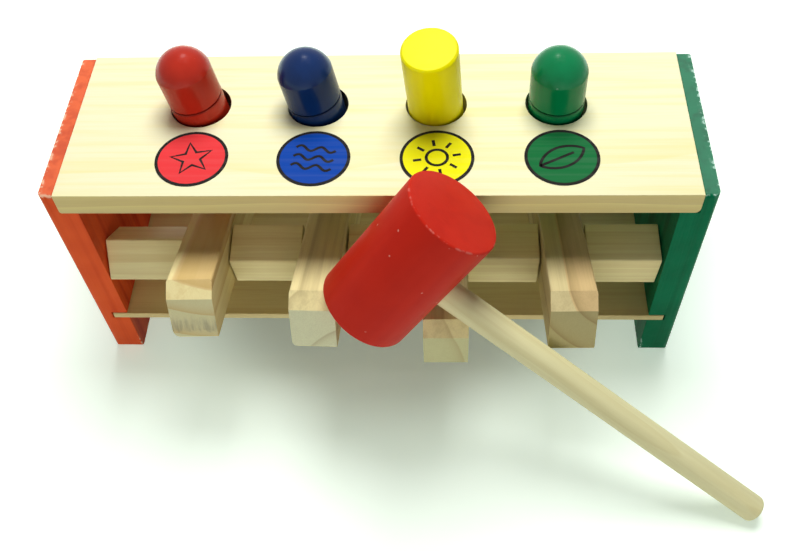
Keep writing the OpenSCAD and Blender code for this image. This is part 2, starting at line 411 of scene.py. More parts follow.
@dataclass(frozen=True)
class BareWood(Finish):
    """Sanded softwood without paint. Lengths are in millimetres, across the grain."""

    pale: Colour = (0.88, 0.77, 0.39)
    late: Colour = (0.64, 0.45, 0.16)
    # Colour of the cut faces: the end grain's own colour, and painted shade on the long side faces where a
    # side strength is given.
    sawn_and_shade: Colour = (0.78, 0.74, 0.42)
    heart: Colour = (0.74, 0.51, 0.2)
    smudge: Colour = (0.24, 0.21, 0.15)
    pith: Point2 = (40.0, -60.0)
    spacing: float = 7.0
    warp: float = 2.0
    sharpness: float = 3.5
    ring_strength: float = 0.5
    heart_within: float = 0.0
    streak_strength: float = 0.25
    fine_strength: float = 0.12
    end_strength: float = 0.5
    # Painted shade: share of the cut-face colour laid on faces that look along Y, the board's front and back
    # edges, to make them darker than the top.
    side_shade_strength: float = 0.0
    smudge_at: float = 0.0
    smudge_strength: float = 0.6
    fibre_depth: float = 0.08

    def look(self, position: Value, normal: Value) -> Look:
        """See Finish.look."""
        rings = GrowthRings().place(
            position,
            Pith=(0.0, self.pith[0] * MM, self.pith[1] * MM),
            Spacing=self.spacing * MM,
            Warp=self.warp * MM,
            Sharpness=self.sharpness,
        )
        fibres = Fibres().place(position, Size=(1.0, 1.0, 1.0))
        end, side, _ = abs(normal).parts()
        colour: Feed = self.pale
        if self.heart_within:
            heart = rings["Distance"].step((self.heart_within + 0.5) * MM, self.heart_within * MM)
            colour = heart.mix(colour, self.heart)
        colour = (fibres["Streaks"] * self.streak_strength).mix(colour, self.late)
        # End grain gets its own cut-face colour; faces looking along Y get the same colour as painted shade,
        # darker than the lit top.
        cut = end.step(0.8, 0.95) * self.end_strength + side.step(0.6, 0.9) * self.side_shade_strength
        colour = cut.clamped().mix(colour, self.sawn_and_shade)
        colour = (rings["Late"] * self.ring_strength).mix(colour, self.late)
        colour = (fibres["Fine"].step(0.35, 0.7) * self.fine_strength).mix(colour, self.late)
        if self.smudge_at:
            colour = self.smudged(position, end).mix(colour, self.smudge)
        gloss = fibres["Fine"] * 0.15 + (self.roughness - 0.07)
        return Look(colour, gloss, fibres["Fine"], self.fibre_depth * MM)

    def smudged(self, position: Value, end: Value) -> Value:
        """Finds grey upright saw streaks low on the nose.

        Args:
            position: The piece's own coordinates.
            end: How far a face looks along the grain.

        Returns:
            How grey it is.
        """
        streaks = (position * (1, 1, 0.12)).noise(900.0, 3.0)
        ragged = position.noise(700.0) * (3.0 * MM) + position.parts()[2]
        below = ragged.step((self.smudge_at + 6.5) * MM, (self.smudge_at + 1.5) * MM)
        above = ragged.step((self.smudge_at - 1.5) * MM, self.smudge_at * MM)
        return below * above * streaks.step(0.3, 0.8) * end.step(0.7, 0.9) * self.smudge_strength


@dataclass(frozen=True)
class Paint(Finish):
    """Satin paint over turned or saw-cut wood. Lengths are in millimetres.

    The edges that wear are a bar's rims if radius is given, and else those of a box of half_size.
    """

    colour: Colour = (0.6, 0.05, 0.03)
    deep: Colour = (0.4, 0.02, 0.015)
    bare: Colour = (0.86, 0.62, 0.45)
    half_size: tuple[float, float, float] = (0.0, 0.0, 0.0)
    radius: float = 0.0
    half_length: float = 0.0
    wear_reach: float = 1.4
    wear_cover: float = -0.1
    wear_from: float = 0.0
    rub_strength: float = 0.3
    patches: float = 420.0
    uneven_scale: float = 60.0
    uneven_strength: float = 0.25
    lump_scale: float = 260.0
    grain_size: tuple[float, float, float] = (0.6, 0.6, 0.6)
    grain_strength: float = 0.3
    grain_depth: float = 0.06
    fleck_share: float = 0.0
    fleck_scale: float = 160.0
    fleck_size: float = 0.12
    fleck_strength: float = 0.6
    # Painted sheen: share of the bare colour mixed into the end faces, the panels' tops and bottoms, so they
    # read lighter as if catching the light.
    painted_end_sheen: float = 0.0
    shadow_ring: float = 0.0
    shadow_ring_half: Point2 = (0.9, 0.1)
    shadow_ring_strength: float = 0.55

    def look(self, position: Value, normal: Value) -> Look:
        """See Finish.look."""
        fibres = Fibres().place(position, Size=self.grain_size)
        slow = position.noise(self.uneven_scale).step(0.35, 0.7) * self.uneven_strength
        uneven = (fibres["Streaks"] * self.grain_strength + slow).clamped()
        colour = uneven.mix(self.colour, self.deep)
        # Painted sheen on the end faces.
        if self.painted_end_sheen:
            end = abs(normal).parts()[0].step(0.75, 0.95)
            colour = (end * self.painted_end_sheen).mix(colour, self.bare)
        if self.shadow_ring:
            off = abs(position.parts()[0] - self.shadow_ring * MM)
            ring = off.step(*(half * MM for half in self.shadow_ring_half))
            colour = (ring * self.shadow_ring_strength).mix(colour, [part * 0.25 for part in self.deep])
        wear = self.worn(position)
        used = abs(position).parts()[0].step((self.wear_from - 1.0) * MM, (self.wear_from + 1.0) * MM)
        bare = wear["Bare"] * used
        colour = (wear["Rubbed"] * used * self.rub_strength).mix(colour, self.bare)
        colour = bare.mix(colour, self.bare)
        if self.fleck_share:
            sizes = {"Scale": self.fleck_scale, "Size": self.fleck_size, "Share": self.fleck_share}
            fleck = Flecks().place(position, **sizes)["Fleck"]
            colour = (fleck * self.fleck_strength).mix(colour, self.bare)
        gloss = fibres["Fine"] * 0.1 + (bare * 0.3 + self.roughness)
        height = fibres["Fine"] * 0.6 + position.noise(self.lump_scale, 1.0)
        return Look(colour, gloss, height, self.grain_depth * MM)

    def worn(self, position: Value) -> dict[str, Value]:
        """Finds where the paint is bare or rubbed along its edges.

        Args:
            position: The piece's own coordinates.

        Returns:
            The outputs of the wear.
        """
        if self.radius:
            sizes = {"Half_Length": self.half_length * MM, "Radius": self.radius * MM}
            edges = RimEdges().place(position, **sizes)
        else:
            edges = BoxEdges().place(position, Half_Size=[size * MM for size in self.half_size])
        return Wear().place(
            position,
            Distance=edges["Distance"],
            Reach=self.wear_reach * MM,
            Cover=self.wear_cover,
            Patches=self.patches,
        )


@dataclass(frozen=True)
class Ink(Finish):
    """Thin printed colour that lets the fibres show a little."""

    colour: Colour = (0.8, 0.05, 0.05)
    fibre_strength: float = 0.12
    fibre_depth: float = 0.03

    def look(self, position: Value, normal: Value) -> Look:
        """See Finish.look."""
        fibres = Fibres().place(position, Size=(1.0, 1.0, 1.0))
        paler = [0.8 * part + 0.16 for part in self.colour]
        colour = (fibres["Streaks"] * self.fibre_strength).mix(self.colour, paler)
        return Look(colour, fibres["Fine"] * 0.15 + self.roughness, fibres["Fine"], self.fibre_depth * MM)


# ---- mesh making


class GrainAlong(Enum):
    """The axis of the drawing that the wood's grain runs along."""

    X = ((1, 0, 0), (0, 1, 0), (0, 0, 1))
    Y = ((0, 1, 0), (-1, 0, 0), (0, 0, 1))
    Z = ((0, 0, 1), (0, 1, 0), (-1, 0, 0))

    def turn(self) -> Matrix:
        """Gives the matrix whose first column is the grain."""
        return Matrix(self.value).transposed().to_4x4()


def rounded_rectangle(low: Point2, high: Point2, rounds: Sequence[float], steps: int = 6) -> list[Point2]:
    """Draws a rectangle with its own round at each corner.

    Args:
        low: The lower left corner.
        high: The upper right corner.
        rounds: Radii from the lower left corner, anticlockwise.
        steps: Straight pieces in each round.

    Returns:
        The outline, anticlockwise.
    """
    corners = ((low[0], low[1]), (high[0], low[1]), (high[0], high[1]), (low[0], high[1]))
    signs = ((1, 1), (-1, 1), (-1, -1), (1, -1))
    outline: list[Point2] = []
    for index, ((x, y), (sx, sy), radius) in enumerate(zip(corners, signs, rounds)):
        if radius <= 0:
            outline.append((x, y))
            continue
        start = math.pi * (1 + index / 2)
        for step in range(steps + 1):
            angle = start + math.pi / 2 * step / steps
            right, up = radius * math.cos(angle), radius * math.sin(angle)
            outline.append((x + sx * radius + right, y + sy * radius + up))
    return outline


def arc(centre: Point2, radius: float, start: float, end: float, steps: int) -> list[Point2]:
    """Draws an arc between two angles in degrees, with a number of straight pieces."""
    angles = [math.radians(start + (end - start) * step / steps) for step in range(steps + 1)]
    return [(centre[0] + radius * math.cos(a), centre[1] + radius * math.sin(a)) for a in angles]


def circle(radius: float, sides: int = ROUND_SIDES, centre: Point2 = (0.0, 0.0)) -> list[Point2]:
    """Draws a circle as a polygon with a number of sides."""
    return arc(centre, radius, 0, 360 - 360 / sides, sides - 1)


class Shape:
    """A closed mesh under construction, in millimetres."""

    def __init__(self) -> None:
        """Starts with no faces."""
        self.bm = bmesh.new()

    @classmethod
    def prism(cls, outline: Sequence[Point2], start: float, end: float, axis: str = "z") -> "Shape":
        """Draws an outline out along an axis.

        Args:
            outline: Points anticlockwise, seen from the axis's far end.
            start: Where it starts on the axis.
            end: Where it ends on the axis.
            axis: The letter of the axis.

        Returns:
            The new shape.
        """
        place = {
            "x": lambda u, v, w: (w, u, v),
            "y": lambda u, v, w: (v, w, u),
            "z": lambda u, v, w: (u, v, w),
        }[axis]
        shape = cls()
        rings = [[shape.bm.verts.new(place(u, v, w)) for u, v in outline] for w in (start, end)]
        shape.bm.faces.new(reversed(rings[0]))
        shape.bm.faces.new(rings[1])
        for index in range(len(outline)):
            after = (index + 1) % len(outline)
            shape.bm.faces.new((rings[0][index], rings[0][after], rings[1][after], rings[1][index]))
        return shape

    @classmethod
    def box(cls, low: Sequence[float], high: Sequence[float]) -> "Shape":
        """Draws a box from its lowest to its highest corner."""
        outline = rounded_rectangle((low[0], low[1]), (high[0], high[1]), (0, 0, 0, 0))
        return cls.prism(outline, low[2], high[2])

    @classmethod
    def turned(cls, profile: Sequence[Point2], sides: int = ROUND_SIDES) -> "Shape":
        """Turns a profile about the X axis.

        Args:
            profile: Points (x, radius) from one end on the axis to the other end on it.
            sides: Sides round the axis.

        Returns:
            The new shape.
        """
        shape = cls()
        rings: list[list[bmesh.types.BMVert]] = []
        for x, radius in profile:
            if radius <= 0:
                rings.append([shape.bm.verts.new((x, 0, 0))])
                continue
            angles = (2 * math.pi * side / sides for side in range(sides))
            spots = ((x, radius * math.cos(a), radius * math.sin(a)) for a in angles)
            rings.append([shape.bm.verts.new(spot) for spot in spots])
        for first, second in zip(rings, rings[1:]):
            for side in range(sides):
                after = (side + 1) % sides
                corners = [first[side % len(first)], second[side % len(second)]]
                if len(second) > 1:
                    corners.append(second[after])
                if len(first) > 1:
                    corners.append(first[after])
                shape.bm.faces.new(corners)
        bmesh.ops.recalc_face_normals(shape.bm, faces=shape.bm.faces)
        return shape

    @classmethod
    def ribbon(cls, path: Sequence[Point2], width: float, low: float, high: float, closed: bool) -> "Shape":
        """Draws a thin raised line of even width.

        Args:
            path: Points along the line's middle.
            width: Its width.
            low: Height of its underside.
            high: Height of its upper side.
            closed: Whether its end joins its start.

        Returns:
            The new shape.
        """
        shape = cls()
        count = len(path)
        rows = []
        for index, (x, y) in enumerate(path):
            before = path[index - 1] if closed or index else path[0]
            after = path[(index + 1) % count] if closed or index < count - 1 else path[-1]
            along = Vector((after[0] - before[0], after[1] - before[1])).normalized()
            side = Vector((-along.y, along.x)) * width / 2
            spots = ((x + side.x, y + side.y), (x - side.x, y - side.y))
            rows.append([shape.bm.verts.new((u, v, w)) for w in (low, high) for u, v in spots])
        for first, second in zip(rows, rows[1:] + rows[:1] if closed else rows[1:]):
            for a, b in ((0, 1), (1, 3), (3, 2), (2, 0)):
                shape.bm.faces.new((first[a], first[b], second[b], second[a]))
        if not closed:
            for row in (rows[0], rows[-1]):
                shape.bm.faces.new((row[0], row[1], row[3], row[2]))
        bmesh.ops.recalc_face_normals(shape.bm, faces=shape.bm.faces)
        return shape

    def moved(self, matrix: Matrix) -> "Shape":
        """Moves the shape by a matrix in millimetres and gives it back."""
        bmesh.ops.transform(self.bm, matrix=matrix, verts=self.bm.verts)
        return self

    def joined(self, other: "Shape") -> None:
        """Adds another shape's faces to this one.

        Args:
            other: The other shape, used up.
        """
        mesh = bpy.data.meshes.new("joined")
        other.bm.to_mesh(mesh)
        self.bm.from_mesh(mesh)
        other.bm.free()
        bpy.data.meshes.remove(mesh)

    def draft(self) -> bpy.types.Object:
        """Makes a scratch object of the shape and uses the shape up.

        Returns:
            The object.
        """
        mesh = bpy.data.meshes.new("draft")
        self.bm.to_mesh(mesh)
        self.bm.free()
        return shown_object("draft", mesh)

    @staticmethod
    def applied(draft: bpy.types.Object) -> bpy.types.Mesh:
        """Applies a scratch object's modifiers.

        Args:
            draft: The object, which is removed.

        Returns:
            The resulting mesh.
        """
        graph = bpy.context.evaluated_depsgraph_get()
        mesh = bpy.data.meshes.new_from_object(draft.evaluated_get(graph))
        old = draft.data
        bpy.data.objects.remove(draft)
        bpy.data.meshes.remove(old)
        return mesh

    def combined(self, operation: str, *others: "Shape") -> "Shape":
        """Cuts the shape with others, or keeps what they share.

        Args:
            operation: DIFFERENCE or INTERSECT.
            others: The other shapes, used up.

        Returns:
            The resulting shape.
        """
        draft = self.draft()
        cutters = [other.draft() for other in others]
        for cutter in cutters:
            cut = draft.modifiers.new("cut", "BOOLEAN")
            cut.operation, cut.solver, cut.object = operation, "EXACT", cutter
        result = Shape()
        result.bm.from_mesh(Shape.applied(draft))
        for cutter in cutters:
            bpy.data.objects.remove(cutter)
        return result

    def finished(self, ease: float = 0.0, steps: int = 3, limit: float = 32.0) -> bpy.types.Mesh:
        """Eases the sharp edges and shades the mesh.

        Args:
            ease: Width of the eased edges in millimetres, 0 for none.
            steps: Faces across an eased edge.
            limit: Angle in degrees past which an edge counts as sharp.

        Returns:
            The mesh in metres.
        """
        bm, sharp, flat = self.bm, math.radians(limit), math.radians(0.5)
        bmesh.ops.remove_doubles(bm, verts=bm.verts, dist=0.001)
        bmesh.ops.dissolve_limit(bm, angle_limit=flat, verts=bm.verts, edges=bm.edges)
        for face in bm.faces:
            face.smooth = True
        bmesh.ops.scale(bm, vec=(MM, MM, MM), verts=bm.verts)
        draft = self.draft()
        if ease > 0:
            bevel = draft.modifiers.new("ease", "BEVEL")
            bevel.width, bevel.segments = ease * MM, steps
            bevel.limit_method, bevel.angle_limit = "ANGLE", sharp
            bevel.harden_normals = True
        mesh = Shape.applied(draft)
        if ease <= 0:
            mesh.set_sharp_from_angle(angle=sharp)
        return mesh


def shown_object(name: str, data: Any) -> bpy.types.Object:
    """Makes an object in the scene.

    Args:
        name: Its name.
        data: Its mesh, light or camera.

    Returns:
        The object.
    """
    made = bpy.data.objects.new(name, data)
    bpy.context.scene.collection.objects.link(made)
    return made


def turn_about(axis: str, degrees: float) -> Matrix:
    """Gives the matrix of a turn about one of the axes X, Y or Z."""
    return Matrix.Rotation(math.radians(degrees), 4, axis)


def shifted(x: float, y: float, z: float) -> Matrix:
    """Gives the matrix of a shift that is given in millimetres, in metres."""
    return Matrix.Translation(Vector((x, y, z)) * MM)


def middle_of(node: str) -> Vector:
    """Gives the middle of a CAD node's box, in metres."""
    low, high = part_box(node)
    return (low + high) / 2


@dataclass
class Piece:
    """A finished piece. It stands for a CAD node, or is added to the others if node is empty."""

    name: str
    node: str
    body: str
    slot: str
    grain: GrainAlong = GrainAlong.X

    def put(
        self,
        mesh: bpy.types.Mesh,
        finish: Finish,
        placing: Optional[Matrix] = None,
        fitted: bool = False,
    ) -> bpy.types.Object:
        """Makes the object, turns it so that its own X runs along the grain, and seats it.

        Args:
            mesh: The mesh, drawn in the placing's axes.
            finish: Its finish.
            placing: Where the drawing goes in metres, the middle of the node if none.
            fitted: Whether its box is centred on the node's.

        Returns:
            The piece.
        """
        turn = self.grain.turn()
        mesh.transform(turn.inverted())
        mesh.materials.clear()
        mesh.materials.append(finish.material())
        made = shown_object(self.name, mesh)
        made.matrix_world = (placing or Matrix.Translation(middle_of(self.node))) @ turn
        bpy.context.view_layer.update()
        if fitted:
            self.centre(made)
        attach(made, self.body)
        if self.node:
            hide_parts(self.node)
        LOG.info("built %s with %d faces", self.name, len(mesh.polygons))
        return made

    def centre(self, made: bpy.types.Object) -> None:
        """Moves the piece so that its box has the same middle as the node's.

        Args:
            made: The piece's object.
        """
        low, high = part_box(self.node)
        points = [made.matrix_world @ vertex.co for vertex in made.data.vertices]
        own_low = Vector([min(point[axis] for point in points) for axis in range(3)])
        own_high = Vector([max(point[axis] for point in points) for axis in range(3)])
        shift = (low + high) / 2 - (own_low + own_high) / 2
        made.matrix_world = Matrix.Translation(shift) @ made.matrix_world
        bpy.context.view_layer.update()
        off = max(abs(value) for value in (high - low) - (own_high - own_low))
        LOG.info("%s moved %.2f mm, its box differs by %.2f mm", made.name, shift.length / MM, off / MM)


# ---- bench


@dataclass
class Bench:
    """End panels, board, shelf and rod, glued together. Lengths are in millimetres."""

    length: float = 226.8
    depth: float = 69.4
    height: float = 95.3
    panel: float = 11.5
    panel_round: float = 2.0
    panel_corner: float = 1.8
    panel_ease: float = 0.8
    worn_end: float = 8.0
    board: float = 9.0
    board_corners: tuple[float, ...] = (0.9, 0.3, 0.3, 1.9)
    board_ease: float = 0.35
    lip: float = 5.0
    shelf: float = 3.0
    shelf_top: float = 24.6
    shelf_ease: float = 0.3
    slot_play: float = 0.5
    rod_radius: float = 4.0
    rod_play: float = 0.08
    rod_chamfer: float = 0.4
    rod_inset: float = 10.1
    rod_height: float = 51.0
    rod_seat: float = 6.0
    hole_pitch: float = 42.2
    hole_slip: tuple[float, ...] = (-0.7, -0.5, -0.5, -0.3)
    hole_radius: float = 10.85
    hole_back: float = 8.2
    wall_slant: float = 0.4

    @property
    def rod_y(self) -> float:
        """Place of the rod's axis from front to back."""
        return self.rod_inset - self.depth / 2

    def rod_hole(self, reach: float) -> Shape:
        """Draws the hole of a piece that turns on the rod, reaching as far on both sides."""
        return Shape.prism(circle(self.rod_radius + self.rod_play, ROD_HOLE_SIDES), -reach, reach, "x")

    def holes(self) -> list[Point2]:
        """Gives the places of the four holes in the board."""
        return [((i - 1.5) * self.hole_pitch + slip, self.hole_back) for i, slip in enumerate(self.hole_slip)]

    def panel_mesh(self, side: int) -> bpy.types.Mesh:
        """Draws an end panel about its own middle.

        Args:
            side: 1 for the right panel and -1 for the left one.

        Returns:
            The mesh.
        """
        half, deep, tall = self.panel / 2, self.depth / 2, self.height / 2
        in_front, inside, seat = -deep - OVERCUT, -half - OVERCUT, half - self.lip
        slot = self.shelf_top - self.shelf - tall
        slot_top = slot + self.shelf + self.slot_play
        outline = rounded_rectangle((-half, -deep), (half, deep), (0, self.panel_round, self.panel_round, 0))
        rebate = Shape.box((inside, in_front, tall - self.board), (seat, -in_front, tall + OVERCUT))
        groove = Shape.box((inside, in_front, slot), (seat, -in_front, slot_top))
        rod_end = circle(self.rod_radius, ROD_SEAT_SIDES, (self.rod_y, self.rod_height - tall))
        bore = Shape.prism(rod_end, inside, -half + self.rod_seat, "x")
        corners = rounded_rectangle((-deep, -tall), (deep, tall), (self.panel_corner,) * 4)
        side_view = Shape.prism(corners, inside, half + OVERCUT, "x")
        shape = Shape.prism(outline, -tall, tall).combined("INTERSECT", side_view)
        shape = shape.combined("DIFFERENCE", rebate, groove, bore)
        if side < 0:
            shape.moved(Matrix.Scale(-1, 4, (1, 0, 0)))
            bmesh.ops.reverse_faces(shape.bm, faces=shape.bm.faces)
        return shape.finished(ease=self.panel_ease)

    def board_mesh(self) -> bpy.types.Mesh:
        """Draws the board with its four holes.

        Returns:
            The mesh.
        """
        reach, deep, thick = self.length / 2 - self.lip, self.depth / 2, self.board / 2
        outlines = [circle(self.hole_radius, centre=hole) for hole in self.holes()]
        holes = [Shape.prism(outline, -thick - OVERCUT, thick + OVERCUT) for outline in outlines]
        shape = Shape.box((-reach, -deep, -thick), (reach, deep, thick))
        corners = rounded_rectangle((-thick, -reach), (thick, reach), self.board_corners)
        front_view = Shape.prism(corners, -deep - OVERCUT, deep + OVERCUT, "y")
        shape = shape.combined("INTERSECT", front_view)
        return shape.combined("DIFFERENCE", *holes).finished(ease=self.board_ease)

    def paint_shade_in_holes(self, mesh: bpy.types.Mesh) -> None:
        """Paints shade on the walls of the holes, as a near-black wood colour.

        Args:
            mesh: The board's mesh about its own middle.
        """
        # Painted shade: the hole walls get a near-black colour that stands for the shade down inside the
        # holes.
        hole_shade = BareWood("hole_shade_pine", 0.8, pale=(0.07, 0.045, 0.02), late=(0.03, 0.02, 0.01))
        mesh.materials.append(hole_shade.material())
        middles = [Vector(hole) * MM for hole in self.holes()]
        for face in mesh.polygons:
            nearest = min((face.center.xy - middle).length for middle in middles)
            if abs(face.normal.z) < self.wall_slant and nearest < (self.hole_radius + 0.1) * MM:
                face.material_index = 1

    def shelf_mesh(self) -> bpy.types.Mesh:
        """Draws the shelf."""
        far = (self.length / 2 - self.lip - self.slot_play, self.depth / 2, self.shelf / 2)
        return Shape.box([-reach for reach in far], far).finished(ease=self.shelf_ease)

    def rod_mesh(self) -> bpy.types.Mesh:
        """Draws the rod, with a small chamfer at each end.

        Returns:
            The mesh.
        """
        reach, radius = self.length / 2 - self.panel + self.rod_seat, self.rod_radius
        profile = [(-reach, 0), (-reach, radius - self.rod_chamfer), (self.rod_chamfer - reach, radius)]
        profile += [(-x, r) for x, r in reversed(profile)]
        return Shape.turned(profile).finished()

    def build(self) -> None:
        """Builds the bench's own pieces."""
        wood = BareWood(
            "board_pine",
            roughness=0.45,
            pale=(0.95, 0.92, 0.62),
            late=(0.93, 0.83, 0.34),
            sawn_and_shade=(0.68, 0.53, 0.2),
            pith=(10.0, -95.0),
            spacing=5.5,
            warp=7.0,
            streak_strength=0.4,
            # Painted shade on the board's front and back edges.
            side_shade_strength=0.85,
        )
        thin_wood = BareWood("shelf_pine", 0.6, pith=(-20.0, -30.0), warp=3.0)
        top = Piece("top_plank", "top_board", "bench", "natural_wood").put(self.board_mesh(), wood)
        # Painted shade in the board's holes.
        self.paint_shade_in_holes(top.data)
        Piece("shelf_plank", "bottom_shelf", "bench", "natural_wood").put(self.shelf_mesh(), thin_wood)
        Piece("rod", "pivot_rod", "bench", "dowel_wood").put(self.rod_mesh(), thin_wood)
        paint = Paint(
            "panel_paint",
            roughness=0.42,
            sheen=0.06,
            half_size=(self.height / 2, self.depth / 2, self.panel / 2),
            wear_reach=2.6,
            wear_cover=0.0,
            wear_from=self.height / 2 - self.worn_end,
            patches=550.0,
            grain_strength=0.6,
            grain_depth=0.12,
            # Painted sheen on the panels' tops.
            painted_end_sheen=0.14,
        )
        paints = (
            (-1, "left", "orange_red_paint", (0.86, 0.12, 0.028), (0.6, 0.04, 0.008), (0.92, 0.5, 0.32)),
            (1, "right", "dark_green_paint", (0.001, 0.17, 0.07), (0.0, 0.075, 0.028), (0.42, 0.66, 0.54)),
        )
        for side, word, slot, colour, deep, bare in paints:
            finish = replace(paint, name=slot, colour=colour, deep=deep, bare=bare)
            piece = Piece(f"{word}_panel", f"{word}_end_panel", "bench", slot, GrainAlong.Z)
            piece.put(self.panel_mesh(side), finish)


class Motif(Enum):
    """Line patterns that are printed on the discs."""

    STAR = "star"
    WAVES = "waves"
    SUN = "sun"
    LEAF = "leaf"

    def lines(self) -> list[tuple[list[Point2], bool]]:
        """Draws the pattern.

        Returns:
            Its lines about the disc's middle, and whether each is closed.
        """
        if self is Motif.STAR:
            tips = [((7.4, 3.1)[k % 2], k * math.pi / 5) for k in range(9, -1, -1)]
            return [([(reach * math.sin(a), reach * math.cos(a)) for reach, a in tips], True)]
        if self is Motif.WAVES:
            steps = [k / 24 for k in range(25)]
            wave = [(14 * t - 7, 1.1 * math.sin(4 * math.pi * t)) for t in steps]
            return [([(x, level + y) for x, y in wave], False) for level in (-4.2, 0.0, 4.2)]
        if self is Motif.SUN:
            angles = [math.pi / 4 * k for k in range(8)]
            rays = [[(r * math.cos(a), r * math.sin(a)) for r in (5.4, 8.2)] for a in angles]
            return [(circle(3.6, 48), True)] + [(ray, False) for ray in rays]
        upper = arc((0.0, -6.2), 10.6, 36, 144, 24)
        lower = arc((0.0, 6.2), 10.6, 216, 324, 24)
        return [(upper[:-1] + lower[:-1], True), ([(-8.6, 0.0), (4.6, 0.0)], False)]


@dataclass
class Discs:
    """Four printed discs on the board, each with a dark rim and a line pattern."""

    radius: float = 12.7
    rim: float = 1.1
    line: float = 1.05
    ink_height: float = 0.03

    def build(self) -> None:
        """Builds the discs, their rims and their patterns."""
        prints = (
            ("red", (0.84, 0.05, 0.055), Motif.STAR, 12.0),
            ("blue", (0.004, 0.06, 0.38), Motif.WAVES, -8.0),
            ("yellow", (0.95, 0.9, 0.008), Motif.SUN, 10.0),
            ("green", (0.008, 0.15, 0.04), Motif.LEAF, 28.0),
        )
        black = Ink("rim_print", 0.45, colour=(0.012, 0.011, 0.01))
        for word, colour, motif, turned in prints:
            node, slot = f"disc_{word}", f"{word}_print"
            low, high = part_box(node)
            thick = (high.z - low.z) / MM
            placing = Matrix.Translation(Vector((*middle_of(node).xy, low.z)))
            disc = Shape.prism(circle(self.radius - self.rim), 0, thick)
            ink = Ink(slot, 0.4, colour=colour)
            Piece(f"print_{word}", node, "bench", slot).put(disc.finished(), ink, placing)
            ring = circle(self.radius - self.rim / 2)
            top = thick + self.ink_height
            lines = Shape.ribbon(ring, self.rim, 0, top, True)
            for path, closed in motif.lines():
                line = Shape.ribbon(path, self.line, thick - self.ink_height, top, closed)
                lines.joined(line.moved(turn_about("Z", turned)))
            Piece(f"lines_{word}", "", "bench", slot).put(lines.finished(), black, placing)


# ---- blocks and levers


@dataclass
class SpacerBlock:
    """A square block that turns on the rod. Lengths are in millimetres."""

    number: int
    turned: float
    wood: BareWood
    side: float = 16.0
    edge_round: float = 0.8
    ease: float = 0.3

    def build(self, bench: Bench) -> None:
        """Builds the block.

        Args:
            bench: The bench that holds it.
        """
        name, node = f"block_{self.number}", f"spacer_block_{self.number}"
        low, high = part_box(node)
        reach, half = (high.x - low.x) / 2 / MM, self.side / 2
        outline = rounded_rectangle((-half, -half), (half, half), (self.edge_round,) * 4)
        bar = Shape.prism(outline, -reach, reach, "x")
        shape = bar.combined("DIFFERENCE", bench.rod_hole(reach + OVERCUT))
        placing = shifted((low.x + high.x) / 2 / MM, bench.rod_y, bench.rod_height)
        piece = Piece(name, node, name, "lever_wood")
        piece.put(shape.finished(ease=self.ease), self.wood, placing @ turn_about("X", self.turned))


@dataclass
class Lever:
    """A bar that rocks on the rod, with a sloped nose. Lengths are in millimetres."""

    number: int
    tilt: float
    skew: float
    low_edge_round: float
    wood: BareWood
    width: float = 15.7
    height: float = 22.4
    front: float = 40.3
    back: float = 49.6
    slope_length: float = 4.2
    slope_drop: float = 5.4
    nose_round: float = 2.0
    edge_round: float = 0.8
    ease: float = 0.35

    def mesh(self, bore: Shape) -> bpy.types.Mesh:
        """Draws the lever along Y, with its nose to the front.

        Args:
            bore: The rod's hole in the lever's own axes.

        Returns:
            The mesh.
        """
        nose, top, half = -self.front, self.height / 2, self.width / 2
        profile = arc((nose + self.nose_round, self.nose_round - top), self.nose_round, 180, 270, 8)
        profile += [(self.back, -top), (self.back, top)]
        profile += [(nose + self.slope_length, top), (nose, top - self.slope_drop)]
        rounds = (self.low_edge_round, *(self.edge_round,) * 3)
        section = rounded_rectangle((-top, -half), (top, half), rounds, 8)
        end_view = Shape.prism(section, nose - OVERCUT, self.back + OVERCUT, "y")
        shape = Shape.prism(profile, -half, half, "x").combined("INTERSECT", end_view)
        return shape.combined("DIFFERENCE", bore).finished(ease=self.ease)

    def build(self, bench: Bench) -> None:
        """Builds the lever.

        Args:
            bench: The bench that holds it.
        """
        node = f"lever_{self.number}"
        centre, middle = middle_of(node), (self.back - self.front) / 2
        turn = turn_about("Z", self.skew) @ turn_about("X", self.tilt)
        axis = Vector((0, bench.rod_y, bench.rod_height)) - centre / MM
        to_bar = Matrix.Translation((0, middle, 0)) @ turn.inverted() @ Matrix.Translation(axis)
        mesh = self.mesh(bench.rod_hole(self.width).moved(to_bar))
        placing = Matrix.Translation(centre) @ turn @ shifted(0, -middle, 0)
        piece = Piece(f"rocker_{self.number}", node, f"{node}_body", "lever_wood", GrainAlong.Y)
        piece.put(mesh, self.wood, placing, fitted=True)


def blocks() -> list[SpacerBlock]:
    """Lists the spacer blocks.

    Returns:
        The five blocks from left to right.
    """
    rows = (
        (-33.0, (25.0, 12.0), 6.0, 0.3),
        (9.0, (-18.0, 30.0), 5.0, 0.3),
        (4.0, (30.0, 20.0), 5.0, 0.5),
        (3.0, (12.0, 26.0), 5.0, 0.2),
        (6.6, (-26.0, 16.0), 4.5, 0.3),
    )
    made = []
    for number, (turned, pith, spacing, strength) in enumerate(rows, 1):
        rings = {"pith": pith, "spacing": spacing, "ring_strength": strength}
        wood = BareWood(f"block_wood_{number}", pale=(0.92, 0.82, 0.43), **rings)
        made.append(SpacerBlock(number, turned, wood))
    return made


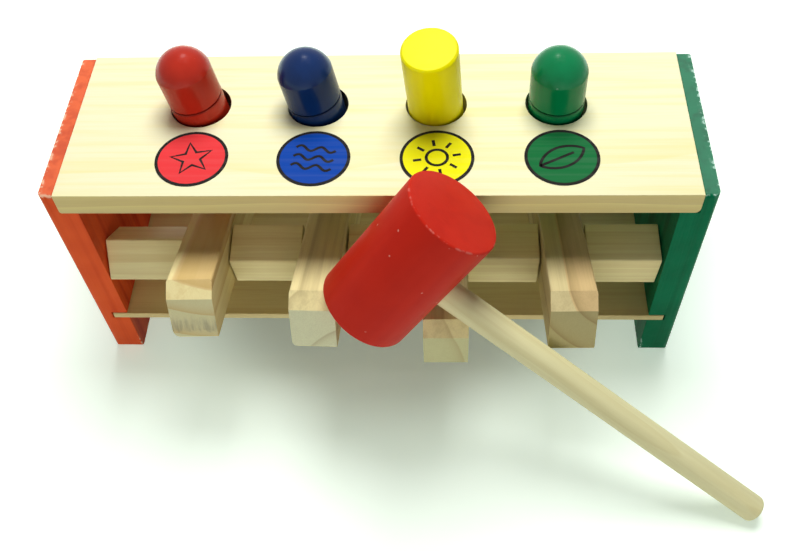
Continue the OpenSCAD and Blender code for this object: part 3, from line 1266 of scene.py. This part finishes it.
def levers() -> list[Lever]:
    """Lists the levers, each with rings that run their own way.

    Returns:
        The four levers from left to right.
    """
    woods = (
        BareWood(
            "lever_wood_1",
            sawn_and_shade=(0.74, 0.71, 0.42),
            heart=(0.74, 0.55, 0.25),
            pith=(-14.9, 68.1),
            spacing=10.0,
            ring_strength=0.75,
            heart_within=60.0,
            end_strength=0.8,
            smudge_at=-5.5,
        ),
        BareWood(
            "lever_wood_2",
            late=(0.42, 0.33, 0.15),
            sawn_and_shade=(0.8, 0.83, 0.55),
            pith=(-24.2, -33.4),
            spacing=17.7,
            sharpness=12.0,
            ring_strength=0.75,
            end_strength=0.85,
        ),
        BareWood(
            "lever_wood_3",
            late=(0.46, 0.35, 0.15),
            sawn_and_shade=(0.62, 0.62, 0.33),
            pith=(51.8, -19.4),
            spacing=20.0,
            sharpness=9.0,
            ring_strength=0.7,
            end_strength=0.85,
        ),
        BareWood(
            "lever_wood_4",
            pale=(0.7, 0.6, 0.31),
            late=(0.32, 0.22, 0.09),
            sawn_and_shade=(0.47, 0.42, 0.2),
            heart=(0.68, 0.5, 0.24),
            pith=(-20.5, 19.4),
            spacing=11.7,
            sharpness=7.0,
            ring_strength=0.8,
            heart_within=23.4,
            streak_strength=0.15,
            end_strength=0.85,
        ),
    )
    rows = ((-19.16, 1.3, 4.0), (-16.98, -1.4, 3.4), (-0.9, 0.5, 1.2), (-17.96, 0.9, 1.0))
    return [Lever(number, *row, wood) for number, (row, wood) in enumerate(zip(rows, woods), 1)]


# ---- pegs


@dataclass
class Peg:
    """A turned peg with a domed end. Lengths are in millimetres."""

    word: str
    lean: float
    heading: float
    paint: Paint
    upside_down: bool = False
    radius: float = 9.75
    neck_radius: float = 9.7
    body: float = 44.0
    neck: float = 12.4
    dome: float = 7.8
    chamfer: float = 0.6
    groove: float = 0.35
    soft: float = 0.25

    def profile(self) -> list[Point2]:
        """Draws half of the peg's outline about its middle.

        Returns:
            Points (x, radius) from the flat end to the dome.
        """
        wide, slim, edge, body, soft = self.radius, self.neck_radius, self.chamfer, self.body, self.soft
        total = body + self.neck + self.dome
        ball = (slim**2 + self.dome**2) / (2 * self.dome)
        start = math.degrees(math.asin(slim / ball))
        after = body + self.groove
        points = [
            (0.0, 0.0),
            (0.0, wide - edge - soft),
            (0.08, wide - edge),
            (edge, wide - 0.08),
            (edge + soft, wide),
            (body - soft, wide),
            (body - 0.07, wide - 0.07),
            (body, wide - soft),
            (body + 0.02, slim - self.groove),
            (after, slim - self.groove),
            (after + 0.03, slim - 0.1),
            (after + 0.2, slim),
            (body + self.neck - 1.0, slim),
            *arc((total - ball, 0.0), ball, start, 0, 20)[:-1],
            (total, 0.0),
        ]
        return [(x - total / 2, radius) for x, radius in points]

    def build(self) -> None:
        """Builds the peg."""
        node = f"peg_{self.word}"
        lean, heading = math.radians(self.lean), math.radians(self.heading)
        across = math.sin(lean)
        axis = Vector((across * math.cos(heading), across * math.sin(heading), math.cos(lean)))
        if self.upside_down:
            axis.negate()
        turn = Vector((1, 0, 0)).rotation_difference(axis).to_matrix().to_4x4()
        mesh = Shape.turned(self.profile()).finished(limit=11.0)
        piece = Piece(f"{self.word}_peg", node, f"{node}_body", f"{self.word}_paint")
        piece.put(mesh, self.paint, Matrix.Translation(middle_of(node)) @ turn, fitted=True)


def pegs() -> list[Peg]:
    """Lists the pegs.

    Returns:
        The four pegs from left to right.
    """
    ringed = {"shadow_ring": 11.9}
    flecked = ringed | {"fleck_share": 0.15}
    rows = (
        ("red", 7.7, 183.0, (0.5, 0.026, 0.01), (0.28, 0.008, 0.003), (0.8, 0.4, 0.3), ringed),
        ("blue", 8.8, 176.0, (0.003, 0.025, 0.115), (0.001, 0.01, 0.045), (0.1, 0.16, 0.3), ringed),
        ("yellow", 9.0, 249.0, (0.93, 0.87, 0.0), (0.82, 0.7, 0.0), (1.0, 0.98, 0.3), {"sheen": 0.08}),
        ("green", 1.9, 245.0, (0.0, 0.22, 0.072), (0.0, 0.12, 0.03), (0.2, 0.5, 0.33), flecked),
    )
    paint = Paint(
        "peg_paint",
        roughness=0.2,
        sheen=0.2,
        radius=9.75,
        half_length=32.1,
        wear_reach=0.8,
        grain_strength=0.12,
        grain_depth=0.012,
    )
    made = []
    for word, lean, heading, colour, deep, bare, own in rows:
        finish = replace(paint, name=f"{word}_peg_paint", colour=colour, deep=deep, bare=bare, **own)
        made.append(Peg(word, lean, heading, finish, upside_down=word == "yellow"))
    return made


# ---- hammer


@dataclass
class Hammer:
    """A turned head on a dowel handle. Lengths are in millimetres, angles in degrees."""

    head_radius: float = 16.9
    head_length: float = 51.8
    rim_round: float = 0.8
    handle_radius: float = 5.0
    handle_reach: float = 155.6
    handle_seat: float = 9.0
    handle_shift: float = -1.2
    handle_spans: int = 40
    bore_overcut: float = 5.0
    bore_ease: float = 0.2
    end_round: float = 1.2
    lean: float = 36.87
    heading: float = 14.6
    turned: float = -30.6

    def head_mesh(self) -> bpy.types.Mesh:
        """Draws the head along X, with the handle's hole towards -Z.

        Returns:
            The mesh.
        """
        half, radius, soft = self.head_length / 2, self.head_radius, self.rim_round
        rim = arc((soft - half, radius - soft), soft, 180, 90, 6)
        profile = [(-half, 0.0)] + rim + [(-x, r) for x, r in reversed(rim)] + [(half, 0.0)]
        hole = circle(self.handle_radius, HANDLE_HOLE_SIDES, (self.handle_shift, 0.0))
        bore = Shape.prism(hole, -radius - self.bore_overcut, self.handle_seat)
        shape = Shape.turned(profile).combined("DIFFERENCE", bore)
        return shape.finished(ease=self.bore_ease, steps=2, limit=60.0)

    def handle_mesh(self) -> bpy.types.Mesh:
        """Draws the handle along X, from its seat in the head to its free end.

        Returns:
            The mesh.
        """
        radius, soft, reach, seat = self.handle_radius, self.end_round, self.handle_reach, self.handle_seat
        length = reach - soft + seat
        profile = [(-seat, 0.0), (-seat, radius)]
        profile += [(length * k / self.handle_spans - seat, radius) for k in range(1, self.handle_spans)]
        profile += arc((reach - soft, radius - soft), soft, 90, 0, 8) + [(reach, 0.0)]
        return Shape.turned(profile).finished(limit=50.0)

    def build(self) -> None:
        """Builds the head and the handle."""
        paint = Paint(
            "red_head_paint",
            roughness=0.4,
            colour=(0.6, 0.022, 0.009),
            deep=(0.46, 0.012, 0.006),
            bare=(0.9, 0.6, 0.5),
            radius=self.head_radius,
            half_length=self.head_length / 2,
            wear_reach=1.2,
            wear_cover=-0.28,
            grain_strength=0.2,
            grain_depth=0.04,
            fleck_share=0.2,
            fleck_scale=240.0,
            fleck_size=0.13,
        )
        wood = BareWood(
            "handle_wood",
            pale=(0.84, 0.8, 0.46),
            late=(0.7, 0.62, 0.3),
            pith=(-30.0, 24.0),
            spacing=5.0,
            warp=6.0,
            ring_strength=0.45,
            streak_strength=0.35,
            end_strength=0.2,
        )
        turn = turn_about("Z", self.heading) @ turn_about("Y", self.lean) @ turn_about("Z", self.turned)
        parts = (
            ("head", "red_paint", self.head_mesh(), paint, turn @ turn_about("Y", -90)),
            ("handle", "dowel_wood", self.handle_mesh(), wood, turn),
        )
        for word, slot, mesh, finish, own_turn in parts:
            piece = Piece(f"mallet_{word}", f"hammer_{word}", "hammer", slot)
            piece.put(mesh, finish, Matrix.Translation(middle_of(piece.node)) @ own_turn, fitted=True)


# ---- studio


@dataclass
class Studio:
    """Floor, lamps, surroundings and camera. Lengths are in metres."""

    floor_reach: float = 4.0
    floor_colour: Colour = (0.88, 0.96, 0.88)
    floor_bounce: Colour = (0.6, 0.63, 0.58)
    floor_tint: Colour = (0.84, 1.0, 0.85)
    # Painted shadow: low camera-only glow in an oval round the bench, the oval's size, and where the glow
    # rises out of it.
    lift_in_painted_shadow: float = 0.158
    lift_far: float = 0.45
    lift_away: float = 0.8
    painted_shadow_oval: Place = (1 / 0.12, 1 / 0.1, 1.0)
    painted_shadow_fade: Point2 = (0.45, 0.85)
    away_from: Point2 = (1.3, 5.0)
    horizon: float = 0.05
    zenith: float = 0.12
    zenith_height: float = 0.9
    key_power: float = 8.8
    key_size: float = 0.5
    key_place: Place = (0.03, 0.29, 0.92)
    spark_power: float = 0.9
    spark_size: float = 0.12
    spark_place: Place = (-0.05, 0.45, 0.85)
    fill_power: float = 4.9
    fill_size: float = 0.9
    fill_height: float = 0.4
    fill_place: Place = (0.0, -1.2, 0.19)
    lamp_aim: Place = (0.0, 0.0, 0.05)
    flag_half: float = 0.125
    flag_reach: Point2 = (0.0352, 0.075)
    flag_height: float = 0.0945
    flag_colour: Colour = (0.05, 0.035, 0.02)
    camera_place: Place = (0.02546, -0.23833, 0.33057)
    camera_turn: Place = (36.071, 2.351, 1.881)
    camera_lens: float = 42.394

    def build(self) -> None:
        """Builds the floor, the lamps, the surroundings and the camera."""
        self.floor()
        self.world()
        self.lamp("key_lamp", self.key_place, self.key_power, self.key_size)
        fill = self.lamp("fill_lamp", self.fill_place, self.fill_power, self.fill_size)
        fill.data.shape, fill.data.size_y = "RECTANGLE", self.fill_height
        spark = self.lamp("spark_lamp", self.spark_place, self.spark_power, self.spark_size)
        spark.visible_glossy, spark.visible_diffuse = True, False
        self.flag()
        self.camera()

    @staticmethod
    def shown(wiring: Wiring) -> Value:
        """Tells whether a ray shows the surroundings, straight on, in a shine or through glass.

        Args:
            wiring: Wiring of the material or world.

        Returns:
            1 for such a ray and 0 for light on the object.
        """
        rays = wiring.outputs("ShaderNodeLightPath")
        straight = rays["Is Camera Ray"].math("MAXIMUM", rays["Is Transmission Ray"])
        return straight.math("MAXIMUM", rays["Is Glossy Ray"])

    @staticmethod
    def sheet(name: str, finish: str, x: Point2, y: Point2, height: float) -> tuple[bpy.types.Object, Wiring]:
        """Lays a level sheet that isn't part of the object.

        Args:
            name: Its name.
            finish: Name of its material.
            x: Where it starts and ends along X.
            y: Where it starts and ends along Y.
            height: Its height.

        Returns:
            The sheet and the wiring of its material.
        """
        mesh = bpy.data.meshes.new(name)
        corners = [(x[0], y[0]), (x[1], y[0]), (x[1], y[1]), (x[0], y[1])]
        mesh.from_pydata([(*corner, height) for corner in corners], [], [(0, 1, 2, 3)])
        material = bpy.data.materials.new(finish)
        material.use_nodes = True
        mesh.materials.append(material)
        made = shown_object(name, mesh)
        return made, Wiring(material.node_tree)

    def floor(self) -> None:
        """Lays a pale floor that looks brighter to the camera than it lights the object, with a painted
        shadow round the bench.
        """
        ends = (-self.floor_reach, self.floor_reach)
        _, wiring = self.sheet("floor", "floor_white", ends, ends, 0.0)
        shown = self.shown(wiring)
        # Painted shadow: the glow that only the camera sees is weakest in an oval round the bench and grows
        # outwards, so the floor looks darker near the bench; far out it grows again to white.
        away = (wiring.outputs("ShaderNodeTexCoord")["Object"] * self.painted_shadow_oval).math("LENGTH")
        lift = away.step(*self.painted_shadow_fade) * (self.lift_far - self.lift_in_painted_shadow) + self.lift_in_painted_shadow
        lift = away.step(*self.away_from) * self.lift_away + lift
        wiring.shade(
            "Principled BSDF",
            {
                "Base Color": shown.mix(self.floor_bounce, self.floor_colour),
                "Roughness": 0.7,
                "Emission Color": self.floor_tint,
                "Emission Strength": shown * lift,
            },
        )

    def world(self) -> None:
        """Surrounds the scene with soft white light, which the camera sees as plain white."""
        world = bpy.data.worlds.new("surroundings")
        world.use_nodes = True
        wiring = Wiring(world.node_tree)
        height = wiring.outputs("ShaderNodeTexCoord")["Generated"].parts()[2]
        light = height.step(0.0, self.zenith_height) * (self.zenith - self.horizon) + self.horizon
        strength = self.shown(wiring).math("MAXIMUM", light)
        wiring.shade("Background", {"Color": (1.0, 1.0, 1.0), "Strength": strength})
        bpy.context.scene.world = world

    def flag(self) -> None:
        """Hangs a dark card behind the board, unseen, that keeps the key lamp out of the open back."""
        ends = (-self.flag_half, self.flag_half)
        card, wiring = self.sheet("flag", "flag_black", ends, self.flag_reach, self.flag_height)
        wiring.shade("Principled BSDF", {"Base Color": self.flag_colour, "Roughness": 0.9})
        card.visible_camera = card.visible_glossy = False

    def lamp(self, name: str, place: Place, power: float, size: float) -> bpy.types.Object:
        """Hangs a square soft lamp that looks at the bench and stays out of its shine.

        Args:
            name: Its name.
            place: Its middle.
            power: Its power in watts.
            size: Its side.

        Returns:
            The lamp.
        """
        light = bpy.data.lights.new(name, "AREA")
        light.energy, light.size, light.shape = power, size, "SQUARE"
        lamp = shown_object(name, light)
        lamp.visible_glossy = False
        lamp.location = place
        aim = Vector(self.lamp_aim) - Vector(place)
        lamp.rotation_euler = aim.to_track_quat("-Z", "Y").to_euler()
        return lamp

    def camera(self) -> None:
        """Sets up the camera, above the front and looking down on the bench."""
        lens = bpy.data.cameras.new("camera")
        lens.lens, lens.sensor_width, lens.clip_start = self.camera_lens, 36.0, 0.01
        camera = shown_object("camera", lens)
        camera.location = self.camera_place
        camera.rotation_euler = Euler([math.radians(angle) for angle in self.camera_turn], "XYZ")
        bpy.context.scene.camera = camera
        bpy.context.scene.view_settings.view_transform = "Standard"


def main() -> None:
    """Builds every sub-assembly in order."""
    logging.basicConfig(level=logging.INFO, format="%(message)s")
    bench = Bench()
    bench.build()
    Discs().build()
    for part in blocks() + levers():
        part.build(bench)
    for peg in pegs():
        peg.build()
    Hammer().build()
    Studio().build()


if __name__ == "__main__":
    main()
